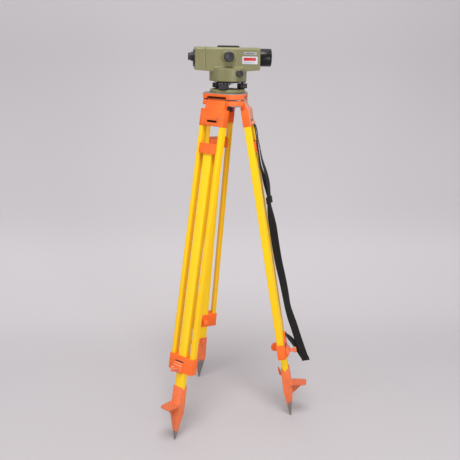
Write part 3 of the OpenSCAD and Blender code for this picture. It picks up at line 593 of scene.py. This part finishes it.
def scuffed_face(tree, place):
    """The outer face beside the strap and the neck above it are rubbed down to primer."""
    part = leg_part(tree)
    leaning = joined_math(tree, "MULTIPLY", part["Z"], neck_lean)
    slope = joined_math(tree, "ADD", leaning, part["X"])
    neck = product(tree, stepped(tree, slope, neck_face, neck_face + 0.0004),
                   stepped(tree, part["Z"], -0.0315, -0.0305))
    face = stepped(tree, part["X"], outer_face, outer_face + 0.0006)
    rubbed = joined_math(tree, "MAXIMUM", face, neck)
    return product(tree, rubbed, stepped(tree, noise(tree, place, 70, 6.0), 0.36, 0.46))


OUTWARD = Matrix.Rotation(math.radians(90), 4, "Y")
LEGS = {leg: leg_seat(leg) for leg in ("front", "right", "rear")}
STRAP_LEG = "right"
RIVET_PLACES = [(22.0, 28.0, -39.0), (22.0, 28.0, -57.5)]

plain_block = painted_metal("block_paint", ORANGE, BARE, share=0.55, chip_share=0.13,
                            dark=block_painted_shade)
scuffed_block = painted_metal("scuffed_block_paint", ORANGE, linear(238, 166, 142),
                              share=0.55, chip_share=0.13,
                              bare=scuffed_face, dark=block_painted_shade, metal_share=0.1)
for leg, seat in LEGS.items():
    refine(f"hinge_block_{leg}", seat, f"leg_{leg}", "orange_metal",
           scuffed_block if leg == STRAP_LEG else plain_block, 1.0, 3)
    rivet = turned("rivet", [
        (0, 0.9), (1.2, 0.8), (2.2, 0.3), (2.5, -0.2), (2.5, -1.0), (0, -1.0),
    ], 24)
    rivets = scattered(f"rivets_{leg}", rivet, RIVET_PLACES, OUTWARD)
    settle(rivets, seat, f"leg_{leg}", "steel", steel)

# Wooden legs. Two ash rails on each leg and a board that slides between them,
# all painted yellow, with the grain along the leg. A cast bracket caps the board.


def bar(name, low, high, edge):
    """A square bar between two corners, with rounded edges."""
    deselect()
    low, high = Vector(low), Vector(high)
    bpy.ops.mesh.primitive_cube_add(size=1, location=(low + high) / 2, scale=high - low)
    piece = bpy.context.object
    piece.name = name
    bpy.ops.object.transform_apply()
    soften(piece, edge, 3)
    return piece


def yellow_wood(name, colour, shift):
    """Painted wood: grain ridges under the paint, dents, dark specks and rubbed edges."""
    material, tree, shader, place = fresh_material(name, specular_ior_level=0.3)
    local = leg_place(tree)
    fine_grain = add(tree, "Mapping", {
        "Vector": local, "Location": (shift, 0, 0), "Scale": (1, 1, 0.035),
    }).outputs[0]
    broad_grain = add(tree, "Mapping", {
        "Vector": local, "Location": (0, shift, 0), "Scale": (1, 1, 0.12),
    }).outputs[0]
    streaks = noise(tree, fine_grain, 260, 5.0)
    broad = stepped(tree, noise(tree, broad_grain, 30, 3.0), 0.35, 0.8, 0.0, 0.4)
    paint = mixed(tree, stepped(tree, streaks, 0.3, 0.75, 0.0, 0.35), colour, linear(250, 184, 8))
    paint = mixed(tree, broad, paint, linear(254, 198, 20))
    smudge = stepped(tree, noise(tree, place, 22, 6.0), 0.66, 0.86, 0.0, 0.3)
    paint = mixed(tree, smudge, paint, linear(150, 104, 30))
    wear = effect(tree, edge_wear, Place=place, Width=0.0016, Share=0.42)
    nicks = effect(tree, chips, Place=place, Scale=95.0, Share=0.085)
    mask = joined_math(tree, "MAXIMUM", wear, nicks)
    wood = mixed(tree, streaks, linear(171, 120, 58), linear(92, 66, 40))
    tree.links.new(mixed(tree, mask, paint, wood), shader.inputs["Base Color"])
    tree.links.new(stepped(tree, streaks, 0.3, 0.8, 0.4, 0.55), shader.inputs["Roughness"])
    ridges = joined_math(tree, "MULTIPLY", streaks, 0.7)
    emboss(tree, shader, joined_math(tree, "SUBTRACT", ridges, mask), 0.35, 0.0004)
    return material


rail_wood = yellow_wood("rail_wood", linear(255, 206, 14), 0.0)
board_wood = yellow_wood("board_wood", linear(255, 215, 28), 0.31)

wood_back, wood_front = -0.75, 20.75
rail_in, rail_out = 32.0, 45.0
rail_foot, rail_head = -858.0, -82.0
board_half = 15.0
shoe_tip = -1099.26
board_foot, board_head = shoe_tip + 98.0, -140.0
for leg, seat in LEGS.items():
    other_rail = bar("rail", (wood_back, -rail_out, rail_foot),
                     (wood_front, -rail_in, rail_head), 1.6)
    rails = bar(f"rails_{leg}_finished", (wood_back, rail_in, rail_foot),
                (wood_front, rail_out, rail_head), 1.6)
    join(rails, other_rail)
    settle(rails, seat, f"leg_{leg}", "yellow_wood", rail_wood, f"rails_{leg}")
    board = bar(f"board_{leg}_finished", (wood_back, -board_half, board_foot),
                (wood_front, board_half, board_head), 1.4)
    settle(board, seat, f"foot_{leg}", "yellow_wood", board_wood, f"board_{leg}")
    refine(f"slide_bracket_{leg}", seat, f"foot_{leg}", "orange_metal", orange_paint, 1.2, 3)

# Clamp collars. A casting holds the lower ends of the rails and lets the board
# slide through; a wing screw in its boss presses on the board.

wing_seat = LEGS["front"].inverted() @ Vector(JOINTS["wing_screw_front_turn"]["pos_m"])
boss_top = wing_seat.z + 0.0196
boss_middle, boss_half = -0.005, 0.0175


def boss_shadow(tree, place):
    """A painted shadow line where the boss meets the casting, over its top."""
    part = leg_part(tree)
    off = lone_math(tree, "ABSOLUTE", joined_math(tree, "SUBTRACT", part["Z"], boss_top))
    side = lone_math(tree, "ABSOLUTE", joined_math(tree, "SUBTRACT", part["Y"], boss_middle))
    return product(
        tree,
        stepped(tree, off, 0.002, 0.0012),
        stepped(tree, side, boss_half, boss_half - 0.001),
        stepped(tree, part["X"], 0.02, 0.022),
    )


def boss_rib_highlights(tree, place):
    """Pale bands on the boss: painted highlights standing for its ribs, mixed in as the worn
    colour.
    """
    part = leg_part(tree)
    bands = lone_math(tree, "SINE", joined_math(tree, "MULTIPLY", part["Z"], 760))
    ragged = joined_math(tree, "ADD", bands, noise(tree, place, 120, 4.0))
    bulge = stepped(tree, part["X"], 0.0265, 0.0285)
    return product(tree, bulge, stepped(tree, ragged, 0.9, 1.2))


collar_paint = painted_metal("collar_paint", ORANGE, linear(240, 168, 144),
                             share=0.6, chip_share=0.14,
                             bare=boss_rib_highlights, dark=boss_shadow, metal_share=0.15)
for leg, seat in LEGS.items():
    refine(f"collar_{leg}", seat, f"leg_{leg}", "orange_metal", collar_paint, 1.0, 3)
    refine(f"wing_screw_{leg}", seat, f"wing_{leg}", "orange_metal", collar_paint, 0.8, 3)

# Shoes. A pressed steel sleeve on each board runs down into a point, with a
# pedal to tread it in and a hook for the strap. The paint is gone near the point.


def tread_dimples(tree, place):
    """Rows of small dark spots on the pedal."""
    part = leg_part(tree)
    rows, columns = (lone_math(tree, "SINE", joined_math(tree, "MULTIPLY", part[axis], 900))
                     for axis in ("X", "Y"))
    dots = stepped(tree, joined_math(tree, "MULTIPLY", rows, columns), 0.2, 0.5, 0.0, 0.75)
    return product(tree, dots, stepped(tree, part["X"], 0.026, 0.028))


def shoe_steel(name, height, ragged):
    """Orange paint that ends in a ragged line at a height above the point."""
    line = shoe_tip * MM + height + ragged / 2

    def scraped(tree, place):
        wander = joined_math(tree, "MULTIPLY", noise(tree, place, 110, 6.0), ragged)
        level = joined_math(tree, "ADD", leg_part(tree)["Z"], wander)
        return stepped(tree, level, line + 0.006, line - 0.006)

    return painted_metal(name, linear(242, 120, 68), linear(142, 138, 132),
                         share=0.65, chip_share=0.19,
                         bare=scraped, dark=tread_dimples, metal_share=0.35)


# For each leg, how far up the bare steel reaches and how ragged its line is
BARE_HEIGHTS = {"front": (0.03, 0.03), "right": (0.05, 0.07), "rear": (0.085, 0.075)}
for leg, seat in LEGS.items():
    paint = shoe_steel(f"shoe_{leg}_paint", *BARE_HEIGHTS[leg])
    refine(f"shoe_{leg}", seat, f"foot_{leg}", "orange_metal", paint, 0.9, 2, 25)

# Carrying strap. Black webbing runs from the hinge block down to the collar of
# the right leg, twisted in the middle, with a plastic buckle a third of the way.

INNER_LAYER = [
    (24.6, 0, -79, 0), (26.2, 0, -88, 0), (27.4, 0, -97, 0), (27.6, 0, -112, 0),
    (27.6, 0, -134, 0), (27.6, 0, -158, 0), (27.4, 0, -172, 3), (26.8, 0, -195, 5),
    (27.4, 0, -217, 8), (29.9, 0, -233, 12), (32.0, 0, -253, 18), (34.6, 0, -275, 22),
    (36.8, 0, -297, 18), (38.3, 0, -313, 18), (38.4, 0, -326, 20),
]
OUTER_LAYER = [
    (26.8, 0, -79, 0), (31.0, 0, -90, 0), (32.2, 0, -109, 0), (31.4, 0, -128, 0),
    (32.4, 0, -143, 0), (33.4, 0, -160, 0), (33.8, 0, -178, 3), (34.9, 0, -195, 6),
    (36.9, 0, -211, 10), (39.6, 0, -227, 14), (41.6, 0, -247, 19), (42.6, 0, -267, 22),
    (42.4, 0, -286, 20), (41.2, 0, -306, 18), (39.6, 0, -326, 20),
]
LOWER_BAND = [
    (39, 0, -324, 20), (36.5, 0, -345, 25), (37, 0, -380, 50), (38.5, 0, -420, 75),
    (38.5, 0, -460, 80), (40, 0, -530, 75), (45, 0, -600, 65), (47, 0, -640, 60),
    (49, 0, -692, 50), (54, 0, -730, 65), (60, 0, -762, 80), (68, 0, -811, 85),
    (76, 0, -855, 88), (83, 0, -890, 90), (84, 2, -895, 90), (84, 6, -895, 90),
    (82, 9, -889, 88), (70, 10, -865, 62), (58, 10, -842, 40), (46, 10, -822, 26),
    (36, 10, -808, 14), (30, 10, -800, 0), (28.4, 10, -793, 0),
]
STRAP_WIDTH = 25.0
STRAP_THICK = 2.2


def smooth_route(route, step):
    """Points at an even step along a smooth curve through the route's points."""
    fine = []
    last = len(route) - 1
    for i in range(last):
        near = [Vector(route[min(max(i + k, 0), last)]) for k in (-1, 0, 1, 2)]
        count = max(2, round((near[2] - near[1]).to_3d().length / step))
        for k in range(count):
            t = k / count
            fine.append(0.5 * (
                2 * near[1] + (near[2] - near[0]) * t
                + (2 * near[0] - 5 * near[1] + 4 * near[2] - near[3]) * t * t
                + (3 * near[1] - near[0] - 3 * near[2] + near[3]) * t ** 3))
    fine.append(Vector(route[last]))
    return fine


# Across a band: each point's share of the width, and how thick the band is there
BAND_PROFILE = [(-0.5, 0.12), (-0.46, 0.36), (-0.3, 0.5), (-0.1, 0.5),
                (0.1, 0.5), (0.3, 0.5), (0.46, 0.36), (0.5, 0.12)]


def webbing_band(name, route, width, thick):
    """A flat band along a route of (x, y, z, turn), with its woven UV in millimetres."""
    fine = smooth_route(route, 4.0)
    mesh = bmesh.new()
    uv = mesh.loops.layers.uv.new("weave")
    rings, runs = [], []
    run = 0.0
    for i, point in enumerate(fine):
        here = point.to_3d()
        ahead = fine[min(i + 1, len(fine) - 1)].to_3d()
        behind = fine[max(i - 1, 0)].to_3d()
        along = (ahead - behind).normalized()
        turn = math.radians(point[3])
        across = Vector((math.sin(turn), math.cos(turn), 0))
        across = (across - along * across.dot(along)).normalized()
        out = along.cross(across)
        if i:
            run += (here - fine[i - 1].to_3d()).length
        runs.append(run)
        rings.append([
            mesh.verts.new(here + across * share * width + out * side * slim * thick)
            for side in (1, -1) for share, slim in BAND_PROFILE[::side]
        ])
    count = len(rings[0])
    half = count // 2
    for i in range(len(rings) - 1):
        for k in range(count):
            after = (k + 1) % count
            face = mesh.faces.new(
                (rings[i][k], rings[i][after], rings[i + 1][after], rings[i + 1][k]))
            face.smooth = True
            corners = ((k, i), (k + 1, i), (k + 1, i + 1), (k, i + 1))
            for loop, (column, row) in zip(face.loops, corners):
                spot = column if column < half else count - 1 - column
                share = BAND_PROFILE[max(0, min(spot, half - 1))][0]
                loop[uv].uv = (width * (0.5 + share), runs[row])
    mesh.faces.new(rings[0][::-1])
    mesh.faces.new(rings[-1])
    bmesh.ops.recalc_face_normals(mesh, faces=mesh.faces)
    data = bpy.data.meshes.new(name)
    mesh.to_mesh(data)
    mesh.free()
    piece = bpy.data.objects.new(name, data)
    bpy.context.collection.objects.link(piece)
    return piece


def webbing_cloth():
    """Woven nylon: ribs that run slanting to the band's middle from both edges."""
    material, tree, shader, place = fresh_material(
        "webbing_cloth", roughness=0.8, sheen_weight=0.05, specular_ior_level=0.3)
    weave = split(tree, add(tree, "UVMap", uv_map="weave").outputs[0])
    from_middle = joined_math(tree, "SUBTRACT", weave["X"], STRAP_WIDTH / 2)
    slant = joined_math(tree, "MULTIPLY", lone_math(tree, "ABSOLUTE", from_middle), 2.0)
    along = joined_math(tree, "MULTIPLY", weave["Y"], 2.6)
    ribs = lone_math(tree, "SINE", joined_math(tree, "ADD", along, slant))
    threads = lone_math(tree, "SINE", joined_math(tree, "MULTIPLY", weave["X"], 6.0))
    height = joined_math(tree, "ADD", joined_math(tree, "MULTIPLY", ribs, 0.5),
                         joined_math(tree, "MULTIPLY", threads, 0.25))
    fuzz = joined_math(tree, "ADD", height, noise(tree, place, 80, 6.0))
    tone = mixed(tree, stepped(tree, fuzz, -0.4, 1.4), linear(6, 5, 5), linear(30, 28, 27))
    tree.links.new(tone, shader.inputs["Base Color"])
    emboss(tree, shader, height, 0.6, 0.0004)
    return material


strap_seat = LEGS[STRAP_LEG]
strap = webbing_band("carry_strap_webbing", LOWER_BAND, STRAP_WIDTH, STRAP_THICK)
join(strap, webbing_band("inner_layer", INNER_LAYER, STRAP_WIDTH, STRAP_THICK / 2),
     webbing_band("outer_layer", OUTER_LAYER, STRAP_WIDTH, STRAP_THICK / 2))
settle(strap, strap_seat, f"leg_{STRAP_LEG}", "webbing", webbing_cloth(), "carry_strap")

# Buckle of the strap. A moulded frame of matt black plastic with rounded bars;
# the webbing passes through its two openings.

buckle_deep, buckle_wide, buckle_high = 4.0, 16.5, 11.0
opening_deep, opening_wide, opening_start, opening_end = 3.0, 13.6, 2.2, 14.0
buckle = bar("strap_buckle_finished", (-buckle_deep, -buckle_wide, -buckle_high),
             (buckle_deep, buckle_wide, buckle_high), 1.6)
for low, high in ((-opening_end, -opening_start), (opening_start, opening_end)):
    hole = bar("hole", (-opening_deep, -opening_wide, low),
               (opening_deep, opening_wide, high), 0.8)
    modify(buckle, "BOOLEAN", object=hole, operation="DIFFERENCE", solver="EXACT")
    bpy.data.objects.remove(hole)
buckle_place, buckle_turn = (39, 0, -326), math.radians(-20)
buckle.data.transform(
    Matrix.Translation(buckle_place) @ Matrix.Rotation(buckle_turn, 4, "Z"))
buckle_plastic = black_finish("buckle_plastic", linear(20, 19, 19), roughness=0.5,
                              grain=1400, relief=0.2, shine=0.3)
settle(buckle, strap_seat, f"leg_{STRAP_LEG}", "black_plastic", buckle_plastic, "strap_buckle")

# Base of the level. A round cast plate stands on the tripod; three foot screws
# turn on balls in it and carry the black tribrach with the steel spindle.

green_paint = painted_metal("green_paint", linear(132, 128, 88), linear(150, 150, 145),
                            share=0.3, chip_share=0.055, roughness=0.37, shine=0.4)
brass = plain_metal("brass", linear(196, 160, 84), 0.32)

refine("base_plate", HEAD, "level_base", "green_metal", green_paint, 0.7)
dress(steel, "spring_plate", "centre_axis")
dress(black_lacquer, "ball_caps")
for number in (1, 2, 3):
    refine(f"foot_screw_{number}", HEAD, f"foot_screw_{number}",
           "black_plastic", black_plastic, 0.9)
refine("tribrach", HEAD, "tribrach", "black_metal", black_lacquer, 0.8)
dress(brass, "drive_wheel", "focusing_cell", "compensator_pendulum")

# Castings of the level. The drum and the telescope housing are one rounded green
# form; the eyepiece housing is screwed on behind it at a fine seam.


def cast(name, parts, voxel, rounds):
    """One casting from overlapping closed parts, with soft fillets where they meet."""
    whole = parts[0]
    for part in parts[1:]:
        modify(whole, "BOOLEAN", object=part, operation="UNION", solver="EXACT")
        bpy.data.objects.remove(part)
    whole.name = name
    modify(whole, "REMESH", mode="VOXEL", voxel_size=voxel)
    modify(whole, "SMOOTH", factor=0.5, iterations=rounds)
    return whole


QUARTER_TURN = Matrix.Rotation(math.radians(90), 4, "X")
drive_x, drive_z = 29.7, 59.0
boss_y, boss_r = -48.8, 12.2
drive_boss = turned("drive_boss", [(0, -8), (boss_r, -8), (boss_r, 5), (0, 5)], 48)
drive_boss.data.transform(Matrix.Translation((drive_x, boss_y, drive_z)) @ QUARTER_TURN)
body_cast = cast("body_casting", [
    seated_copy("lower_housing", HEAD), seated_copy("telescope_housing", HEAD), drive_boss,
], voxel=1.3, rounds=7)
settle(body_cast, HEAD, "alidade", "green_metal", green_paint,
       "lower_housing", "telescope_housing")
rear_cast = cast("eyepiece_casting", [seated_copy("eyepiece_housing", HEAD)],
                 voxel=1.2, rounds=5)
settle(rear_cast, HEAD, "alidade", "green_metal", green_paint, "eyepiece_housing")

# Objective. A black hood shades the lens; its barrel runs into the housing and
# holds the lens and the brass focusing cell.

sight_z = 105.75
ALONG_SIGHT = Matrix.Rotation(math.radians(90), 4, "Y")
SIGHT = HEAD @ Matrix.Translation((0, 0, sight_z * MM)) @ ALONG_SIGHT
front_x, hood_len, hood_r, hood_bore = 94.0, 36.0, 26.5, 22.0
barrel_r = 21.05
far = front_x + hood_len
hood = turned("objective_hood_finished", [
    (barrel_r, front_x), (hood_r - 0.8, front_x),
    (hood_r - 0.8, front_x + 1.4), (hood_r, front_x + 1.8),
    (hood_r, far - 5.2), (hood_r - 0.5, far - 4.8),
    (hood_r - 0.5, far - 4.0), (hood_r, far - 3.6),
    (hood_r, far), (hood_bore, far), (hood_bore, front_x + 3.3), (barrel_r, front_x + 3.3),
    (barrel_r, front_x),
], 96)
soften(hood, 0.45)
settle(hood, SIGHT, "alidade", "black_metal", black_lacquer, "objective_hood")
dress(black_lacquer, "objective_barrel")


def coated_glass():
    """Lens glass with a faint blue-green coating."""
    material, tree, shader, place = fresh_material(
        "coated_glass", roughness=0.03, ior=1.52, transmission_weight=1.0, coat_weight=0.4)
    tint = mixed(tree, noise(tree, place, 25, 2.0), (0.82, 0.92, 0.93, 1), (0.90, 0.93, 0.97, 1))
    tree.links.new(tint, shader.inputs["Base Color"])
    return material


glass = coated_glass()
lens_r = 17.98
lens = turned("objective_lens_finished", [
    (0, front_x - 9.9), (8, front_x - 9.6), (13, front_x - 9.0), (lens_r, front_x - 8.0),
    (lens_r, front_x - 5.2), (14, front_x - 3.4), (9, front_x - 2.4), (0, front_x - 2.0),
], 64)
settle(lens, SIGHT, "alidade", "glass", glass, "objective_lens")
dress(glass, "focusing_lens", "reticle")
dress(steel, "compensator_frame")

# Knobs. Moulded black knobs on steel shafts: one for focus on the side of the
# telescope and a pair for the fine turn low on the drum, all ribbed for grip.


def ribbed_knob(name, radius, inner, outer, ribs):
    """A knob along -Y between two distances from the axis, with ribs round its rim."""
    steps = ribs * 2
    floor = outer - 0.6
    knob = turned(name, [
        (0, inner), (radius - 1.2, inner), (radius - 0.5, inner + 0.7), (radius - 0.5, outer - 1.8),
        (radius - 2.0, outer - 0.4), (radius - 3.2, outer), (radius - 4.2, floor),
        (radius * 0.35, floor), (radius * 0.3, floor - 0.3), (0, floor - 0.3),
    ], steps)
    slice_turn = 2 * math.pi / steps

    def on_rib(face):
        middle = face.calc_center_median()
        side = inner + 0.8 < middle.z < outer - 1.9 and abs(face.normal.z) < 0.2
        return side and round(math.atan2(middle.y, middle.x) / slice_turn - 0.5) % 2 == 0

    pick(knob, "faces", on_rib)
    bpy.ops.mesh.extrude_faces_move(TRANSFORM_OT_shrink_fatten={"value": 0.5})
    bpy.ops.object.mode_set(mode="OBJECT")
    knob.data.transform(QUARTER_TURN)
    return knob


house_y = 33.0
focus_x, focus_z, focus_r = -2.0, 107.6, 15.3
focus = ribbed_knob("focus_knob_finished", focus_r, house_y + 5, house_y + 19, ribs=30)
shaft = turned("shaft", [(0, 0), (3, 0), (3, 14), (0, 14)], 32)
shaft.data.transform(Matrix.Translation((0, -26, 0)) @ QUARTER_TURN)
join(focus, shaft)
focus.data.transform(Matrix.Translation((focus_x, 0, focus_z)))
settle(focus, HEAD, "focus_knob", "black_plastic", black_plastic, "focus_knob")

drive_inner, drive_outer, drive_r = 54.6, 62.0, 11.0
drive = ribbed_knob("drive_knobs_finished", drive_r, drive_inner, drive_outer, ribs=22)
other = copied(drive, "drive_far", Matrix.Rotation(math.pi, 4, "Z"))
shaft = turned("shaft", [
    (0, -55), (3, -55), (3, -10), (5, -10), (5, 10), (3, 10), (3, 55), (0, 55),
], 32)
shaft.data.transform(QUARTER_TURN)
join(drive, other, shaft)
drive.data.transform(Matrix.Translation((drive_x, 0, drive_z)))
settle(drive, HEAD, "drive_knobs", "black_plastic", black_plastic, "drive_knobs")

# Eyepiece. A black flange closes the back of the housing; the ribbed ring that
# focuses the cross hairs turns on its tube, and a push button sits below.

refine("eyepiece_flange", HEAD, "alidade", "black_plastic", black_plastic, 0.6)
refine("check_button", HEAD, "check_button", "black_plastic", black_plastic, 0.5)
refine("eyepiece_ring", HEAD, "eyepiece", "black_plastic", black_plastic, 0.5)
dress(glass, "eyepiece_lens")

# Sight rail and plates. A black rail on top for rough aim, and two thin plates
# on the side, one silver and one white with a plain red stripe.

refine("sight_rail", HEAD, "alidade", "black_plastic", black_plastic, 0.6)

# The plates' places in millimetres: the rail's top, and the white plate's edges
rail_top = head_top / MM + 132.5
white_low, white_high = rail_top - 46.1, rail_top - 23.7


def plate_face():
    """Printed foil: silver above, white below with a red stripe and two thin rules."""
    material, tree, shader, place = fresh_material("plate_face", roughness=0.35)
    part = split(tree, place)

    def printed(back, front, low, high):
        """A box of ink between two distances behind the hood and two heights."""
        return product(
            tree,
            joined_math(tree, "GREATER_THAN", part["X"], (front_x - back) * MM),
            joined_math(tree, "LESS_THAN", part["X"], (front_x - front) * MM),
            joined_math(tree, "GREATER_THAN", part["Z"], low * MM),
            joined_math(tree, "LESS_THAN", part["Z"], high * MM),
        )

    white = joined_math(tree, "LESS_THAN", part["Z"], (white_high + 1) * MM)
    tone = mixed(tree, white, linear(166, 168, 174), linear(198, 198, 204))
    for ink, colour in (
        (printed(47, 17, rail_top - 16.2, rail_top - 13.8), linear(84, 84, 100)),
        (printed(48, 16, white_low + 5.6, white_low + 6.4), linear(112, 114, 122)),
        (printed(48, 16, white_low + 3.2, white_low + 4.0), linear(112, 114, 122)),
        (printed(51, 13.5, white_high - 12.6, white_high - 3.6), linear(186, 10, 26)),
    ):
        tone = mixed(tree, ink, tone, colour)
    dirt = stepped(tree, noise(tree, place, 160, 5.0), 0.5, 0.8, 0.0, 0.25)
    tree.links.new(mixed(tree, dirt, tone, linear(120, 118, 110)), shader.inputs["Base Color"])
    return material


refine("label_plates", HEAD, "alidade", "plate", plate_face(), 0.15)

# Circular bubble. A cup on the drum holds the round vial, and a prism on the
# housing's side shows it from the eyepiece.

refine("bubble_cup", HEAD, "alidade", "green_metal", green_paint, 0.5)
dress(glass, "bubble_vial", "bubble_prism")
